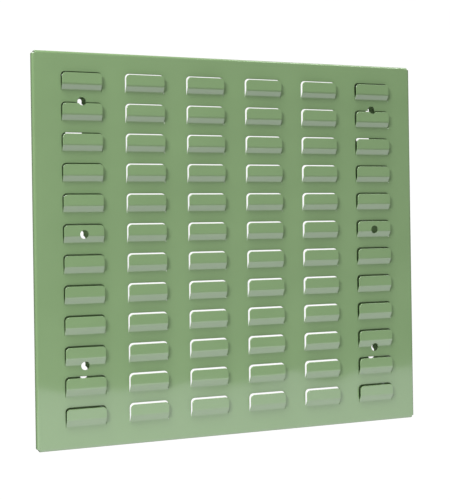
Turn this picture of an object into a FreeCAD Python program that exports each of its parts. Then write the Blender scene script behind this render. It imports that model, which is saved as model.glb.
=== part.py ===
import FreeCAD, Part
import math
import os

# Louvred panel for hanging storage bins, cut, lanced and folded from one sheet of steel.
# Frame: X to the right, Y from the front of the panel towards the wall, Z up. The back lies
# against the wall at Y = 0, and the origin is midway between the four corner wall screws.

# --- driving dimensions, in millimetres and degrees --------------------------------------
PANEL_WIDTH = 494.0
PANEL_HEIGHT = 456.0
PANEL_DEPTH = 11.0            # outer face of the front to the back that lies on the wall
SHEET = 1.25                  # thickness of the steel
EDGE_BEND_R = 1.5             # inside radius of the folded edges
NOTCH_MARGIN = 0.25           # corner notches reach this far past the bends they clear

COLUMN_PITCH = 76.0
ROW_PITCH = 35.0
FIRST_ROW_DROP = 23.0         # panel's top edge down to the top of the first slots
LOUVRE_MARGIN = 20.0          # least room from the louvres to the panel's sides and bottom

LOUVRE_WIDTH = 47.0
LOUVRE_HEIGHT = 22.3          # top of a slot down to the foot of its louvre
LOUVRE_CLEAR = 3.0            # room behind a louvre for the lip of a bin
LOUVRE_BEND_R = 4.25          # inside radius of a louvre's two bends
LOUVRE_SLOPE = 33.0           # slope of a louvre's foot
LOUVRE_CORNER_R = 4.5
BEND_CREASES = 2              # creases that stand for each of a louvre's bends, and
CORNER_CREASES = 3            # for each of its round corners, which keeps 72 louvres light
LANCE_GAP = 0.4               # width of the cut round a louvre's top and sides

ACCESS_HOLE_R = 5.0           # screwdriver holes through the front
ACCESS_HOLE_DROPS = (57.0, 210.0, 361.0)   # panel's top edge down to each of them

RETURN_PAST_HOLES = 35.0      # back flange's free edge past the middle of its keyholes
KEY_SLOT_R = 2.5              # narrow top of a keyhole, for the shank of a wall screw
KEY_SLOT_RISE = 1.5           # centre of that narrow top above the access hole's centre
KEY_HEAD_R = 5.0              # wide bottom of a keyhole, for the head of a wall screw
KEY_HEAD_DROP = 6.0           # access hole's centre down to the wide part's upper centre
KEY_HEAD_TRAVEL = 5.0         # from the wide part's upper centre to its lower one

HOOK_SLOT_LENGTH = 19.5
HOOK_SLOT_HEIGHT = 6.0
HOOK_SLOT_CORNER_R = 1.0
HOOK_SLOT_DROP = 93.0         # panel's top edge down to the middle of the hook slot
HOOK_SLOT_OFFSET = -7.5       # its middle, sideways from the middle of the louvres

# --- places worked out from them ---------------------------------------------------------
FRONT_Y = -PANEL_DEPTH
TOP_Z = (ACCESS_HOLE_DROPS[0] + ACCESS_HOLE_DROPS[-1]) / 2 - KEY_SLOT_RISE
BOTTOM_Z = TOP_Z - PANEL_HEIGHT
SIDE_X = PANEL_WIDTH / 2
OUTER_BEND_R = EDGE_BEND_R + SHEET
NOTCH = OUTER_BEND_R + NOTCH_MARGIN
COLUMNS = 1 + int((PANEL_WIDTH - LOUVRE_WIDTH - 2 * LOUVRE_MARGIN) / COLUMN_PITCH)
ROWS = 1 + int((PANEL_HEIGHT - FIRST_ROW_DROP - LOUVRE_HEIGHT - LOUVRE_MARGIN) / ROW_PITCH)
COLUMN_XS = [COLUMN_PITCH * (i - (COLUMNS - 1) / 2) for i in range(COLUMNS)]
OUTER_COLUMN_XS = (COLUMN_XS[0], COLUMN_XS[-1])
RETURN_WIDTH = SIDE_X - OUTER_COLUMN_XS[1] + RETURN_PAST_HOLES
FOOT_ZS = [TOP_Z - FIRST_ROW_DROP - LOUVRE_HEIGHT - ROW_PITCH * i for i in range(ROWS)]

V = FreeCAD.Vector


def folded_section(start, heading, steps, place):
    """Face of a folded strip. A point walks along the middle of the sheet from start, with
    heading in degrees, through steps of ("run", length), ("bend", degrees left, inside radius)
    or ("crease", degrees left), which turns on the spot with mitred sides. place turns a flat
    (u, v) into a 3-D point."""
    point, angle = start, math.radians(heading)
    stations = [[point, angle, 1, None]]       # where, heading, mitre stretch, middle of the arc
    for step in steps:
        if step[0] == "run":
            point = (point[0] + step[1] * math.cos(angle), point[1] + step[1] * math.sin(angle))
            stations.append([point, angle, 1, None])
            continue
        turn = math.radians(step[1])
        if step[0] == "crease":
            stations[-1][1:3] = angle + turn / 2, 1 / math.cos(turn / 2)
            angle += turn
            continue
        left = math.copysign(1, turn)
        radius = step[2] + SHEET / 2
        centre = (point[0] - left * radius * math.sin(angle),
                  point[1] + left * radius * math.cos(angle))
        on_bend = [((centre[0] + left * radius * math.sin(a),
                     centre[1] - left * radius * math.cos(a)), a)
                   for a in (angle + turn / 2, angle + turn)]
        point, angle = on_bend[1]
        stations.append([point, angle, 1, on_bend[0]])

    def beside(p, a, side, stretch=1):
        reach = side * stretch * SHEET / 2
        return place(p[0] - reach * math.sin(a), p[1] + reach * math.cos(a))

    edges = []
    for side in (1, -1):
        ends = [beside(p, a, side, stretch) for p, a, stretch, middle in stations]
        for one, other, station in zip(ends, ends[1:], stations[1:]):
            middle = station[3]
            edges.append(Part.makeLine(one, other) if middle is None else
                         Part.Arc(one, beside(*middle, side), other).toShape())
    for p, a, stretch, middle in (stations[0], stations[-1]):
        edges.append(Part.makeLine(beside(p, a, 1), beside(p, a, -1)))
    return Part.Face(Part.Wire(Part.__sortEdges__(edges)))


def in_plan(z):
    """Flat (u, v) becomes X and Y, at height z."""
    return lambda u, v: V(u, v, z)


def in_side_view(x):
    """Flat (u, v) becomes Y and Z, at x."""
    return lambda u, v: V(x, u, v)


def shell_with_returns():
    """Front, sides and back flanges: one section, as long as the panel less its notches."""
    depth_run = PANEL_DEPTH - 2 * OUTER_BEND_R
    return_run = RETURN_WIDTH - OUTER_BEND_R
    steps = [("run", return_run), ("bend", 90, EDGE_BEND_R), ("run", depth_run),
             ("bend", 90, EDGE_BEND_R), ("run", PANEL_WIDTH - 2 * OUTER_BEND_R),
             ("bend", 90, EDGE_BEND_R), ("run", depth_run), ("bend", 90, EDGE_BEND_R),
             ("run", return_run)]
    start = (RETURN_WIDTH - SIDE_X, -SHEET / 2)
    section = folded_section(start, 180, steps, in_plan(BOTTOM_Z + NOTCH))
    return section.extrude(V(0, 0, PANEL_HEIGHT - 2 * NOTCH))


def top_flange():
    """Bend and flange along the top edge, between the two corner notches."""
    steps = [("run", NOTCH_MARGIN), ("bend", -90, EDGE_BEND_R),
             ("run", PANEL_DEPTH - OUTER_BEND_R)]
    start = (FRONT_Y + SHEET / 2, TOP_Z - NOTCH)
    section = folded_section(start, 90, steps, in_side_view(NOTCH - SIDE_X))
    return section.extrude(V(PANEL_WIDTH - 2 * NOTCH, 0, 0))


def creased_bend(degrees, radius):
    """Steps of a louvre's bend, drawn as creases and flats that touch the true arc."""
    turn = degrees / BEND_CREASES
    reach = radius * math.tan(math.radians(abs(turn)) / 2)
    return [("run", reach), ("crease", turn), ("run", reach)] * BEND_CREASES


def louvre_steps():
    """Foot sloping out of the sheet, then the flat tongue. The tongue keeps the length of
    sheet that the slot gave it, so the foot's slope opens the gap above the louvre."""
    slope = math.radians(LOUVRE_SLOPE)
    middle_r = LOUVRE_BEND_R + SHEET / 2
    offset = LOUVRE_CLEAR + SHEET
    slope_run = (offset - 2 * middle_r * (1 - math.cos(slope))) / math.sin(slope)
    tongue_run = LOUVRE_HEIGHT - LANCE_GAP - slope_run - 2 * middle_r * slope
    return (creased_bend(LOUVRE_SLOPE, middle_r) + [("run", slope_run)]
            + creased_bend(-LOUVRE_SLOPE, middle_r) + [("run", tongue_run)])


def round_topped(width, height, corner_r, y_from, y_to):
    """Upright prism, centred on X = 0 with its foot at Z = 0. Each rounded top corner is drawn
    as creases and flats that touch the true arc."""
    turn = math.pi / 2 / CORNER_CREASES
    across, up = width / 2 - corner_r, height - corner_r
    reach = corner_r / math.cos(turn / 2)
    corner = [(across + reach * math.cos(a), up + reach * math.sin(a))
              for a in [turn * (i + 0.5) for i in range(CORNER_CREASES)]]
    right = [(width / 2, 0)] + corner
    outline = right + [(-x, z) for x, z in reversed(right)]
    points = [V(x, y_from, z) for x, z in outline]
    return Part.Face(Part.makePolygon(points + points[:1])).extrude(V(0, y_to - y_from, 0))


def louvre():
    """One louvre with its foot at Z = 0."""
    steps = louvre_steps()
    section = folded_section((FRONT_Y + SHEET / 2, 0), 90, steps,
                             in_side_view(-LOUVRE_WIDTH / 2))
    strip = section.extrude(V(LOUVRE_WIDTH, 0, 0))
    outline = round_topped(LOUVRE_WIDTH, strip.BoundBox.ZMax, LOUVRE_CORNER_R,
                           strip.BoundBox.YMin - 1, strip.BoundBox.YMax + 1)
    return strip.common(outline)


def slot():
    """The opening that one louvre leaves in the front, with its foot at Z = 0."""
    return round_topped(LOUVRE_WIDTH + 2 * LANCE_GAP, LOUVRE_HEIGHT,
                        LOUVRE_CORNER_R + LANCE_GAP, FRONT_Y - SHEET, FRONT_Y + 2 * SHEET)


def at_each_louvre(shape):
    return [shape.translated(V(x, 0, z)) for x in COLUMN_XS for z in FOOT_ZS]


def drill(x, z, radius, y_from, y_to):
    return Part.makeCylinder(radius, y_to - y_from, V(x, y_from, z), V(0, 1, 0))


def obround(x, z_low, z_high, radius, y_from, y_to):
    """Upright round-ended cutter between two end centres."""
    middle = Part.makeBox(2 * radius, y_to - y_from, z_high - z_low,
                          V(x - radius, y_from, z_low))
    ends = [drill(x, z, radius, y_from, y_to) for z in (z_low, z_high)]
    return middle.fuse(ends).removeSplitter()


def access_holes():
    """Screwdriver holes through the front and the louvres that stand in their way."""
    y_from = FRONT_Y - LOUVRE_CLEAR - 2 * SHEET
    return [drill(x, TOP_Z - drop, ACCESS_HOLE_R, y_from, FRONT_Y + 2 * SHEET)
            for x in OUTER_COLUMN_XS for drop in ACCESS_HOLE_DROPS]


def keyholes():
    """Keyholes in the back flanges, wide part down, one behind each access hole."""
    cutters = []
    for x in OUTER_COLUMN_XS:
        for drop in ACCESS_HOLE_DROPS:
            z = TOP_Z - drop
            z_head = z - KEY_HEAD_DROP
            cutters.append(obround(x, z_head - KEY_HEAD_TRAVEL, z_head, KEY_HEAD_R,
                                   -2 * SHEET, SHEET))
            cutters.append(obround(x, z_head, z + KEY_SLOT_RISE, KEY_SLOT_R,
                                   -2 * SHEET, SHEET))
    return cutters


def hook_slots():
    """One level slot with rounded corners in each back flange."""
    cutters = []
    for x in OUTER_COLUMN_XS:
        corner = V(x + HOOK_SLOT_OFFSET - HOOK_SLOT_LENGTH / 2, -2 * SHEET,
                   TOP_Z - HOOK_SLOT_DROP - HOOK_SLOT_HEIGHT / 2)
        box = Part.makeBox(HOOK_SLOT_LENGTH, 3 * SHEET, HOOK_SLOT_HEIGHT, corner)
        across = [e for e in box.Edges if abs(e.BoundBox.YLength - 3 * SHEET) < 1e-6]
        cutters.append(box.makeFillet(HOOK_SLOT_CORNER_R, across))
    return cutters


def louvred_panel():
    top = top_flange()
    bottom = top.mirror(V(0, 0, (TOP_Z + BOTTOM_Z) / 2), V(0, 0, 1))
    blank = shell_with_returns().fuse([top, bottom])
    slotted = blank.cut(at_each_louvre(slot()))
    louvred = slotted.fuse(at_each_louvre(louvre()))
    holed = louvred.cut(access_holes() + keyholes() + hook_slots())
    return holed.removeSplitter()


os.makedirs("parts", exist_ok=True)
panel = louvred_panel()
assert panel.isValid() and len(panel.Solids) == 1
panel.Solids[0].exportStep("parts/louvred_panel.step")
box = panel.BoundBox
print("louvred_panel %.2f x %.2f x %.2f mm, %d faces, %.1f cm3"
      % (box.XLength, box.YLength, box.ZLength, len(panel.Faces), panel.Volume / 1000))
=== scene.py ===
import bmesh
import bpy
import numpy as np
from mathutils import Matrix, Vector
from mathutils.geometry import delaunay_2d_cdt


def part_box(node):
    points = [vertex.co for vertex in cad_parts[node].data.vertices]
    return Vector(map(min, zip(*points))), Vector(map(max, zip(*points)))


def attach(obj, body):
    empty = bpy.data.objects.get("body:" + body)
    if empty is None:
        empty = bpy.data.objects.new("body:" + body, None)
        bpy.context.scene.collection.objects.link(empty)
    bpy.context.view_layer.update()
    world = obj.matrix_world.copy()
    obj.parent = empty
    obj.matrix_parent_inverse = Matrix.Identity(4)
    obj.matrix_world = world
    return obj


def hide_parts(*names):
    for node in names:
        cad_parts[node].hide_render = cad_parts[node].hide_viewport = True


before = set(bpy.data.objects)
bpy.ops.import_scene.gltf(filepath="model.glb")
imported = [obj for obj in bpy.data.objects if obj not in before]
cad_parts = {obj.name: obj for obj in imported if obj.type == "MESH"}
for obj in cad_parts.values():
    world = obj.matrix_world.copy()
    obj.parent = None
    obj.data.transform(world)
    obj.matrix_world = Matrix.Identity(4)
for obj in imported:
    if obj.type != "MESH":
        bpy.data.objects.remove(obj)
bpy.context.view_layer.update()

# ------------------------------------------------------------------------------------------
# The panel's steel. One blank of 1.25 mm sheet is cut, lanced and folded, and every cut edge
# has its arris rounded a little by the powder coat. All the panel's surfaces meet in one
# closed skin, so each is kept here as a grid of points until the skin is made.
# ------------------------------------------------------------------------------------------
SHEET = 1.25                  # thickness, and every size below, in millimetres
ARRIS_R = 0.28                # rounding of a cut edge under the coat
RIM = 0.35                    # flat strip kept beside each rounded edge
INSET = ARRIS_R + RIM         # from a cut edge in to where its rim starts
MM = 0.001

low, high = [np.array(corner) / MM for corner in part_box("louvred_panel")]
LEFT, RIGHT = low[0], high[0]
BOTTOM, TOP = low[2], high[2]
X, Y, Z = np.eye(3)
skin_points, skin_faces = [], []


def add_faces(points, faces):
    """Puts flat faces, as lists of rows of points, into the skin."""
    first = sum(map(len, skin_points))
    skin_points.append(points)
    skin_faces.extend([first + corner for corner in face] for face in faces)


def add_grid(points):
    """Puts a surface, a function of two parameters sampled on a grid (m, n, 3), into the skin."""
    rows, columns = points.shape[:2]
    corner = np.arange(rows * columns).reshape(rows, columns)
    quads = np.stack([corner[:-1, :-1], corner[1:, :-1], corner[1:, 1:], corner[:-1, 1:]], -1)
    add_faces(points.reshape(-1, 3), quads.reshape(-1, 4).tolist())


def add_cut_edge(base, outward, normal):
    """A profile carried along a path. At each base point, on the middle of the sheet, the cut
    edge's section runs over the front's rim, round the arris, across the sheet and back:
    point = base + out * outward + up * normal."""
    turn = np.radians([0, 45, 90])
    out = np.append(0, RIM + ARRIS_R * np.sin(turn))
    up = np.append(SHEET / 2, SHEET / 2 - ARRIS_R * (1 - np.cos(turn)))
    out, up = np.append(out, out[::-1]), np.append(up, -up[::-1])
    add_grid(base[:, None] + out[:, None] * outward[:, None] + up[:, None] * normal[:, None])


def walk(steps, lengths):
    """Point (u, v) and heading at each developed length of a folded path, which sets off along
    u. Along a step of length L and turn A the heading grows evenly by A * s / L, and the point
    moves by the integral of (cos, sin) of it."""
    u, v = np.zeros(lengths.shape), np.zeros(lengths.shape)
    angle, left = np.zeros(lengths.shape), lengths.copy()
    for length, turn in steps:
        done = np.clip(left, 0, length)
        end = angle + turn * done / length
        if turn:
            u += (np.sin(end) - np.sin(angle)) * length / turn
            v -= (np.cos(end) - np.cos(angle)) * length / turn
        else:
            u += np.cos(angle) * done
            v += np.sin(angle) * done
        angle, left = end, left - done
    return u, v, angle


def stations(steps, per_bend):
    """Developed lengths at which a folded path is sampled: evenly round a bend, and on a run
    its ends and, where it is longer than three rims, a rim's width from each end."""
    at, places = 0.0, [0.0]
    for length, turn in steps:
        shares = np.linspace(0, 1, per_bend + 1) if turn else np.array(
            [0, RIM / length, 1 - RIM / length, 1] if length > 3 * RIM else [0, 1])
        places.extend(at + shares[1:] * length)
        at += length
    return np.array(places)


def bend(degrees, inside_r):
    """A bend as (length along the middle of the sheet, turn)."""
    turn = np.radians(degrees)
    return abs(turn) * (inside_r + SHEET / 2), turn


def add_folded_strip(start, ahead, aside, across, steps, places, half_widths, corner, samples):
    """A strip of sheet that leaves the front at start and follows a folded path in the plane
    of ahead and aside. Both its faces are point(t, s) = path(s) + t * half_width(s) * across
    +- half the sheet, and a cut edge runs up one side, over the end and down the other.
    corner is the angle of a rounded corner at each s, and 0 where the side is straight."""
    u, v, angle = walk(steps, places)
    middle = start + u[:, None] * ahead + v[:, None] * aside
    along = np.cos(angle)[:, None] * ahead + np.sin(angle)[:, None] * aside
    normal = np.cos(angle)[:, None] * aside - np.sin(angle)[:, None] * ahead
    t = samples[None, :, None]
    base = middle[:, None] + t * half_widths[:, None, None] * across
    for side in (1, -1):
        add_grid(base + side * SHEET / 2 * normal[:, None])
    rise, spread = np.sin(corner)[:, None] * along, np.cos(corner)[:, None] * across
    sides = []
    for side in (-1, 1):
        outward = side * spread + rise
        outward[0] = side * across + along[0]           # mitred where it meets the front
        sides.append([base[:, 0 if side < 0 else -1], outward, normal])
        if corner[-1] == 0:                             # a square corner, mitred too
            extra = [sides[-1][0][-1:], side * across + along[-1:], normal[-1:]]
            sides[-1] = [np.vstack(pair) for pair in zip(sides[-1], extra)]
    end = [base[-1], np.repeat(along[-1:], len(samples), 0),
           np.repeat(normal[-1:], len(samples), 0)]
    down = [rows[::-1] for rows in sides[1]]
    add_cut_edge(*[np.vstack(rows) for rows in zip(sides[0], end, down)])


# ------------------------------------------------------------------------------------------
# The louvres. Each tongue is lanced on three sides and pressed out of the front through two
# bends, and it keeps the length of sheet that its slot gave it. Twelve rows of six carry the
# lips of the storage bins.
# ------------------------------------------------------------------------------------------
COLUMN_PITCH, ROW_PITCH = 76.0, 35.0
COLUMNS, ROWS = 6, 12
FIRST_ROW_DROP = 23.0         # top edge of the panel to the top of the first slots
LOUVRE_WIDTH, LOUVRE_HEIGHT = 47.0, 22.3
LOUVRE_CLEAR = 3.0            # room behind a tongue
LOUVRE_BEND_R = 4.25
LOUVRE_SLOPE = 33.0
LOUVRE_CORNER_R = 4.5
LANCE_GAP = 0.4               # width of the cut round a tongue's top and sides
BEND_PARTS, CORNER_PARTS = 6, 6   # how many parts a bend and a round corner are drawn in
FRONT_Y = low[1] + LOUVRE_CLEAR + SHEET
BACK_OF_FRONT_Y = FRONT_Y + SHEET
MIDDLE_Y = FRONT_Y + SHEET / 2

foot_length, foot_turn = bend(LOUVRE_SLOPE, LOUVRE_BEND_R)
middle_r = LOUVRE_BEND_R + SHEET / 2
foot_run = ((LOUVRE_CLEAR + SHEET - 2 * middle_r * (1 - np.cos(foot_turn)))
            / np.sin(foot_turn))
tongue_run = LOUVRE_HEIGHT - LANCE_GAP - foot_run - 2 * foot_length
louvre_steps = [(INSET, 0), (foot_length, foot_turn), (foot_run, 0),
                (foot_length, -foot_turn), (tongue_run, 0)]

round_turns = np.radians(np.linspace(0, 90, CORNER_PARTS + 1))
corner_start = INSET + LOUVRE_HEIGHT - LANCE_GAP - LOUVRE_CORNER_R
corner_inset_r = LOUVRE_CORNER_R - INSET
louvre_places = stations(louvre_steps, BEND_PARTS)
louvre_places = louvre_places[louvre_places < corner_start - RIM]
louvre_widths = np.full(louvre_places.shape, LOUVRE_WIDTH / 2 - INSET)
louvre_corner = np.append(np.zeros(louvre_places.shape), round_turns)
louvre_places = np.append(louvre_places, corner_start + corner_inset_r * np.sin(round_turns))
louvre_widths = np.append(louvre_widths, LOUVRE_WIDTH / 2 - LOUVRE_CORNER_R
                          + corner_inset_r * np.cos(round_turns))
louvre_samples = np.array([-1, -0.97, -0.5, 0, 0.5, 0.97, 1])     # in half widths

slot_half = LOUVRE_WIDTH / 2 + LANCE_GAP
slot_corner_r = LOUVRE_CORNER_R + LANCE_GAP
slot_centre = np.array([slot_half - slot_corner_r, LOUVRE_HEIGHT - slot_corner_r])
round_out = np.stack([np.cos(round_turns), np.sin(round_turns)], -1)
right_base = np.vstack([[LOUVRE_WIDTH / 2 - INSET, -INSET], [slot_half + INSET, -INSET],
                        slot_centre + (slot_corner_r + INSET) * round_out])
right_out = np.vstack([[1, 1], [-1, 1], -round_out])
slot_base = np.vstack([right_base, right_base[::-1] * (-1, 1)])
slot_out = np.vstack([right_out, right_out[::-1] * (-1, 1)])

column_xs = COLUMN_PITCH * (np.arange(COLUMNS) - (COLUMNS - 1) / 2)
foot_zs = TOP - FIRST_ROW_DROP - LOUVRE_HEIGHT - ROW_PITCH * np.arange(ROWS)
feet = np.array([(x, z) for z in foot_zs for x in column_xs])
hole_rims = []
for foot in feet:
    start = np.array([foot[0], MIDDLE_Y, foot[1] - INSET])
    add_folded_strip(start, Z, -Y, X, louvre_steps, louvre_places, louvre_widths,
                     louvre_corner, louvre_samples)
    rim = foot + slot_base
    facing = np.repeat(-Y[None], len(rim), 0)
    add_cut_edge(np.insert(rim, 1, MIDDLE_Y, 1), np.insert(slot_out, 1, 0.0, 1), facing)
    join = np.stack([foot[0] + louvre_samples * louvre_widths[0],
                     np.full(louvre_samples.shape, foot[1] - INSET)], -1)
    hole_rims.append(np.vstack([join, rim[1:-1]]))

# ------------------------------------------------------------------------------------------
# The folded edges. The sides turn back round two bends into wide flanges that lie on the
# wall, the top and bottom turn back once, and a square notch at each corner lets the bends
# pass each other in the press brake.
# ------------------------------------------------------------------------------------------
EDGE_BEND_R = 1.5             # inside radius
NOTCH_MARGIN = 0.25           # notches reach this far past the bends they clear
HOLES_X = column_xs[-1]       # middle of the screw holes, in the outer columns
RETURN_PAST_HOLES = 35.0      # free edge of a back flange past the middle of its holes
EDGE_BEND_PARTS = 8
outer_r = EDGE_BEND_R + SHEET
notch = outer_r + NOTCH_MARGIN
depth = -FRONT_Y
width, height = RIGHT - LEFT, TOP - BOTTOM
centre_z = (TOP + BOTTOM) / 2
face_half = np.array([width / 2 - notch - INSET, height / 2 - notch - INSET])
band_samples = np.array([-1, -0.998, -0.6, -0.2, 0.2, 0.6, 0.998, 1])    # in half widths

edge_bend = bend(90, EDGE_BEND_R)
side_steps = [(INSET + NOTCH_MARGIN, 0), edge_bend, (depth - 2 * outer_r, 0), edge_bend,
              (width / 2 - HOLES_X + RETURN_PAST_HOLES - outer_r - INSET, 0)]
cap_steps = [(INSET + NOTCH_MARGIN, 0), edge_bend, (depth - outer_r - INSET, 0)]
for side in (-1, 1):
    for start, ahead, across, steps, half in (
            (np.array([side * face_half[0], MIDDLE_Y, centre_z]), side * X, Z, side_steps,
             face_half[1]),
            (np.array([0, MIDDLE_Y, centre_z + side * face_half[1]]), side * Z, X, cap_steps,
             face_half[0])):
        places = stations(steps, EDGE_BEND_PARTS)
        add_folded_strip(start, ahead, Y, across, steps, places,
                         np.full(places.shape, half), np.zeros(places.shape), band_samples)

# ------------------------------------------------------------------------------------------
# The flat of the front, between the folds and round the 72 slots. It is the sheet as it came
# from the mill, so its two faces are plane and each is filled in from rim to rim.
# ------------------------------------------------------------------------------------------
FILL_UNIT, FILL_WITHIN = 100, 1e-7     # millimetres that count as one, and its tolerance
INSIDE_ONLY = 1                        # the filling leaves out what lies past the outer rim
JOIN_WITHIN, SLIVER = 2e-6, 1e-7       # metres

frame_x = np.append(band_samples * face_half[0], np.full(len(band_samples) - 2, face_half[0]))
frame_z = np.append(np.full(band_samples.shape, face_half[1]),
                    band_samples[-2:0:-1] * face_half[1])
outer_rim = np.stack([frame_x, frame_z], -1)
outer_rim = np.vstack([outer_rim, -outer_rim]) + (0, centre_z)
loops = [outer_rim] + hole_rims
flat_points = np.vstack(loops)
flat_edges, first = [], 0
for loop in loops:
    around = np.arange(len(loop))
    flat_edges.extend(zip((first + around).tolist(), (first + np.roll(around, -1)).tolist()))
    first += len(loop)
found = delaunay_2d_cdt([Vector(p) for p in flat_points / FILL_UNIT], flat_edges, [],
                        INSIDE_ONLY, FILL_WITHIN)
source = np.array([origins[0] for origins in found[3]])
triangles = source[np.array(found[2])]
rim_of = np.repeat(np.arange(len(loops)), [len(loop) for loop in loops])[triangles]
in_a_slot = (rim_of == rim_of[:, :1]).all(1) & (rim_of[:, 0] > 0)
triangles = triangles[~in_a_slot].tolist()
for y in (FRONT_Y, BACK_OF_FRONT_Y):
    add_faces(np.insert(flat_points, 1, y, 1), triangles)

# The skin: the surfaces above, joined where they meet.
mesh = bpy.data.meshes.new("louvred_panel_skin")
mesh.from_pydata(np.vstack(skin_points) * MM, [], skin_faces)
work = bmesh.new()
work.from_mesh(mesh)
bmesh.ops.remove_doubles(work, verts=work.verts, dist=JOIN_WITHIN)
bmesh.ops.dissolve_degenerate(work, edges=work.edges, dist=SLIVER)
bmesh.ops.recalc_face_normals(work, faces=work.faces)
open_edges = sum(1 for edge in work.edges if len(edge.link_faces) != 2)
print("panel skin:", len(work.faces), "faces,", open_edges, "edges that don't join two faces")
work.to_mesh(mesh)
work.free()
panel = bpy.data.objects.new("louvred_panel_skin", mesh)
bpy.context.scene.collection.objects.link(panel)

# ------------------------------------------------------------------------------------------
# The holes. Six round ones through the front, and the louvres in their way, let a screwdriver
# reach the keyholes behind them. Each flange also has one level slot. All are punched before
# the sheet is folded.
# ------------------------------------------------------------------------------------------
ACCESS_HOLE_R = 5.0
ACCESS_HOLE_DROPS = (57.0, 210.0, 361.0)
KEY_SLOT_R, KEY_SLOT_RISE = 2.5, 1.5
KEY_HEAD_R, KEY_HEAD_DROP, KEY_HEAD_TRAVEL = 5.0, 6.0, 5.0
HOOK_SLOT_HALF = np.array([9.75, 3.0])
HOOK_SLOT_CORNER_R = 1.0
HOOK_SLOT_DROP, HOOK_SLOT_OFFSET = 93.0, -7.5
PUNCH_REACH = 1.5             # how far a punch passes the sheet on each side
HOLE_STEP, KEY_SLOT_STEP, HOOK_CORNER_STEP = 7.5, 11.25, 22.5   # degrees between points
SHARP_ABOVE = 50.0            # degrees between two faces that meet in a sharp edge
punch_points, punch_faces = [], []


def arc(centre, radius, start, end, step):
    """Points of an arc: centre + radius * (cos a, sin a) for a from start to end degrees."""
    a = np.radians(np.linspace(start, end, round((end - start) / step) + 1))
    return np.array(centre) + radius * np.stack([np.cos(a), np.sin(a)], -1)


def add_punch(outline, y_from, y_to):
    """A prism along Y over a closed outline in X and Z."""
    count = len(outline)
    first = sum(map(len, punch_points))
    ring = np.arange(count)
    walls = np.stack([ring, np.roll(ring, -1), np.roll(ring, -1) + count, ring + count], -1)
    punch_points.extend([np.insert(outline, 1, y, 1) for y in (y_from, y_to)])
    punch_faces.extend((walls + first).tolist())
    punch_faces.extend([(ring[::-1] + first).tolist(), (ring + first + count).tolist()])


half_gate = np.degrees(np.arcsin(KEY_SLOT_R / KEY_HEAD_R))
keyhole = np.vstack([
    arc((0, KEY_SLOT_RISE), KEY_SLOT_R, 0, 180, KEY_SLOT_STEP),
    arc((0, -KEY_HEAD_DROP), KEY_HEAD_R, 90 + half_gate, 180, HOLE_STEP),
    arc((0, -KEY_HEAD_DROP - KEY_HEAD_TRAVEL), KEY_HEAD_R, 180, 360, HOLE_STEP),
    arc((0, -KEY_HEAD_DROP), KEY_HEAD_R, 0, 90 - half_gate, HOLE_STEP)])
hook_slot = np.vstack([
    arc((HOOK_SLOT_HALF - HOOK_SLOT_CORNER_R) * sign, HOOK_SLOT_CORNER_R, start, start + 90,
        HOOK_CORNER_STEP)
    for sign, start in (((1, 1), 0), ((-1, 1), 90), ((-1, -1), 180), ((1, -1), 270))])
for x in (-HOLES_X, HOLES_X):
    for drop in ACCESS_HOLE_DROPS:
        middle = (x, TOP - drop)
        add_punch(arc(middle, ACCESS_HOLE_R, 0, 360, HOLE_STEP)[:-1], low[1] - PUNCH_REACH,
                  BACK_OF_FRONT_Y + PUNCH_REACH)
        add_punch(keyhole + middle, -SHEET - PUNCH_REACH, PUNCH_REACH)
    add_punch(hook_slot + (x + HOOK_SLOT_OFFSET, TOP - HOOK_SLOT_DROP),
              -SHEET - PUNCH_REACH, PUNCH_REACH)

punch_mesh = bpy.data.meshes.new("punches")
punch_mesh.from_pydata(np.vstack(punch_points) * MM, [], punch_faces)
work = bmesh.new()
work.from_mesh(punch_mesh)
bmesh.ops.recalc_face_normals(work, faces=work.faces)
work.to_mesh(punch_mesh)
work.free()
punches = bpy.data.objects.new("punches", punch_mesh)
bpy.context.scene.collection.objects.link(punches)
cut = panel.modifiers.new("punched", "BOOLEAN")
cut.operation, cut.solver, cut.object = "DIFFERENCE", "EXACT", punches
bpy.context.view_layer.update()
punched = bpy.data.meshes.new_from_object(
    panel.evaluated_get(bpy.context.evaluated_depsgraph_get()))
panel.modifiers.clear()
panel.data = punched
bpy.data.objects.remove(punches)
punched.polygons.foreach_set("use_smooth", np.ones(len(punched.polygons), bool))
punched.set_sharp_from_angle(angle=np.radians(SHARP_ABOVE))
print("punched panel:", len(punched.polygons), "faces")

# ------------------------------------------------------------------------------------------
# The finish. A green powder coat, baked on after folding, flows out to a gloss with a fine
# orange peel. The whole sheet is a little uneven under it, which only reflections show.
# ------------------------------------------------------------------------------------------
COAT_GREEN = (0.190, 0.300, 0.139, 1)
COAT_GREEN_THIN = (0.202, 0.312, 0.150, 1)
THIN_FROM, THIN_TO = 0.3, 0.8                   # where the cloudy shade sets in and is full
COAT_IOR = 1.95
COAT_ROUGHNESS, ROUGHNESS_SPREAD = 0.11, 0.02
CLOUD_SCALE, CLOUD_DETAIL = 9.0, 3.0
PEEL_SIZE, PEEL_HEIGHT, PEEL_DETAIL = 0.0021, 0.000006, 1.5      # sizes in metres
BUCKLE_SIZE, BUCKLE_HEIGHT, BUCKLE_DETAIL = 0.065, 0.0018, 0.5   # of the uneven sheet

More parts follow.
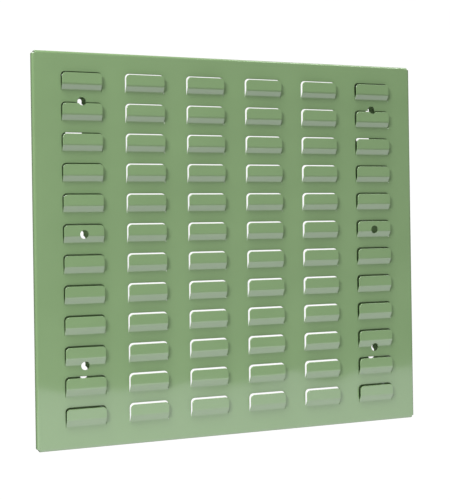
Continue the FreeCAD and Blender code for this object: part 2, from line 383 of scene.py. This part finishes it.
coat = bpy.data.materials.new("green_powder_coat")
coat.use_nodes = True
nodes, links = coat.node_tree.nodes, coat.node_tree.links
shader = nodes["Principled BSDF"]
shader.inputs["IOR"].default_value = COAT_IOR
place = nodes.new("ShaderNodeTexCoord")
cloud = nodes.new("ShaderNodeTexNoise")
cloud.inputs["Scale"].default_value = CLOUD_SCALE
cloud.inputs["Detail"].default_value = CLOUD_DETAIL
links.new(place.outputs["Object"], cloud.inputs["Vector"])
shade = nodes.new("ShaderNodeValToRGB")
shade.color_ramp.elements[0].position = THIN_FROM
shade.color_ramp.elements[0].color = COAT_GREEN
shade.color_ramp.elements[1].position = THIN_TO
shade.color_ramp.elements[1].color = COAT_GREEN_THIN
links.new(cloud.outputs["Fac"], shade.inputs["Fac"])
links.new(shade.outputs["Color"], shader.inputs["Base Color"])
gloss = nodes.new("ShaderNodeMapRange")
gloss.inputs["To Min"].default_value = COAT_ROUGHNESS - ROUGHNESS_SPREAD
gloss.inputs["To Max"].default_value = COAT_ROUGHNESS + ROUGHNESS_SPREAD
links.new(cloud.outputs["Fac"], gloss.inputs["Value"])
links.new(gloss.outputs["Result"], shader.inputs["Roughness"])
peel = nodes.new("ShaderNodeTexNoise")
peel.inputs["Scale"].default_value = 1 / PEEL_SIZE
peel.inputs["Detail"].default_value = PEEL_DETAIL
links.new(place.outputs["Object"], peel.inputs["Vector"])
bump = nodes.new("ShaderNodeBump")
bump.inputs["Strength"].default_value = 1.0
bump.inputs["Distance"].default_value = PEEL_HEIGHT
links.new(peel.outputs["Fac"], bump.inputs["Height"])
buckle = nodes.new("ShaderNodeTexNoise")
buckle.inputs["Scale"].default_value = 1 / BUCKLE_SIZE
buckle.inputs["Detail"].default_value = BUCKLE_DETAIL
links.new(place.outputs["Object"], buckle.inputs["Vector"])
bow = nodes.new("ShaderNodeBump")
bow.inputs["Strength"].default_value = 1.0
bow.inputs["Distance"].default_value = BUCKLE_HEIGHT
links.new(buckle.outputs["Fac"], bow.inputs["Height"])
links.new(bow.outputs["Normal"], bump.inputs["Normal"])
links.new(bump.outputs["Normal"], shader.inputs["Normal"])
panel.data.materials.clear()
panel.data.materials.append(coat)
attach(panel, "root")
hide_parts("louvred_panel")

# ------------------------------------------------------------------------------------------
# The studio. A grey floor lies well below the panel, with a white screen far behind it. Three
# lamps stand above, at the left, overhead and at the right. A fourth, as large as a table
# top, lies face up just under the panel and lightens its lowest rows and the louvres' feet.
# ------------------------------------------------------------------------------------------
FLOOR_REACH, FLOOR_BACK_Y, FLOOR_Z = 6, 2.3, -1.3     # metres
FLOOR_GREY = (0.5, 0.5, 0.5)
SCREEN_X, SCREEN_Y, SCREEN_Z = (0.2, 5.1), 6, (-2.7, 2.2)
SCREEN_GREY, SCREEN_GLOW = (0.02, 0.02, 0.02), 1.02
STAGE_ROUGHNESS = 0.8
TABLE_TINT = (0.98, 0.96, 1.07)
WORLD_GLOW = 0.12


def stage_sheet(name, points, colour, glow):
    """A single flat face of the studio, with a plain surface that may also give light."""
    sheet_mesh = bpy.data.meshes.new(name)
    sheet_mesh.from_pydata(points, [], [(0, 1, 2, 3)])
    sheet = bpy.data.objects.new(name, sheet_mesh)
    bpy.context.scene.collection.objects.link(sheet)
    paint = bpy.data.materials.new(name)
    paint.use_nodes = True
    surface = paint.node_tree.nodes["Principled BSDF"]
    surface.inputs["Base Color"].default_value = (*colour, 1)
    surface.inputs["Roughness"].default_value = STAGE_ROUGHNESS
    surface.inputs["Emission Color"].default_value = (1, 1, 1, 1)
    surface.inputs["Emission Strength"].default_value = glow
    sheet_mesh.materials.append(paint)


stage_sheet("floor", [(-FLOOR_REACH, -FLOOR_REACH, FLOOR_Z), (FLOOR_REACH, -FLOOR_REACH, FLOOR_Z),
                      (FLOOR_REACH, FLOOR_BACK_Y, FLOOR_Z), (-FLOOR_REACH, FLOOR_BACK_Y, FLOOR_Z)],
            FLOOR_GREY, 0.0)
stage_sheet("screen", [(SCREEN_X[0], SCREEN_Y, SCREEN_Z[0]), (SCREEN_X[1], SCREEN_Y, SCREEN_Z[0]),
                       (SCREEN_X[1], SCREEN_Y, SCREEN_Z[1]), (SCREEN_X[0], SCREEN_Y, SCREEN_Z[1])],
            SCREEN_GREY, SCREEN_GLOW)


def lamp(name, at, turn, size, radiance, tint=(1, 1, 1)):
    """A soft rectangular lamp at a place, turned by angles in degrees from facing down. A lamp
    of power P and area A has a radiance of P / (pi * A)."""
    data = bpy.data.lights.new(name, "AREA")
    data.shape, data.size, data.size_y = "RECTANGLE", *size
    data.energy = radiance * np.pi * size[0] * size[1]
    data.color = tint
    light = bpy.data.objects.new(name, data)
    light.location = at
    light.rotation_euler = np.radians(turn)
    light.visible_camera = False
    bpy.context.scene.collection.objects.link(light)


lamp("key", (-2.0, -1.46, 1.46), (60, 0, -54), (0.95, 0.95), 23.5)
lamp("top", (-1.1, -1.0, 3.2), (17, 0, -20), (2.4, 1.2), 17.0)
lamp("rim", (1.9, -1.0, 3.2), (17, 0, 30), (1.4, 0.6), 9.0)
lamp("table", (0.15, -0.22, -0.2495), (180, 0, 0), (1.3, 0.42), 0.84, TABLE_TINT)
world = bpy.data.worlds.new("studio")
world.use_nodes = True
world.node_tree.nodes["Background"].inputs["Color"].default_value = (1, 1, 1, 1)
world.node_tree.nodes["Background"].inputs["Strength"].default_value = WORLD_GLOW
bpy.context.scene.world = world
bpy.context.scene.view_settings.view_transform = "Standard"

# The camera stands to the left of the panel and looks past it square on to the screen.
CAMERA_AT = (-0.4884, -1.1938, 0.0050)
CAMERA_YAW, CAMERA_PITCH, CAMERA_ROLL = 21.904, 0.098, 0.856     # degrees
CAMERA_LENS, CAMERA_SHIFT = 75.69, (-0.0029, -0.0521)
camera_data = bpy.data.cameras.new("camera")
camera_data.lens = CAMERA_LENS
camera_data.shift_x, camera_data.shift_y = CAMERA_SHIFT
camera = bpy.data.objects.new("camera", camera_data)
camera.location = CAMERA_AT
camera.rotation_euler = (
    Matrix.Rotation(np.radians(-CAMERA_YAW), 3, "Z")
    @ Matrix.Rotation(np.radians(90 + CAMERA_PITCH), 3, "X")
    @ Matrix.Rotation(np.radians(-CAMERA_ROLL), 3, "Z")).to_euler()
bpy.context.scene.collection.objects.link(camera)
bpy.context.scene.camera = camera
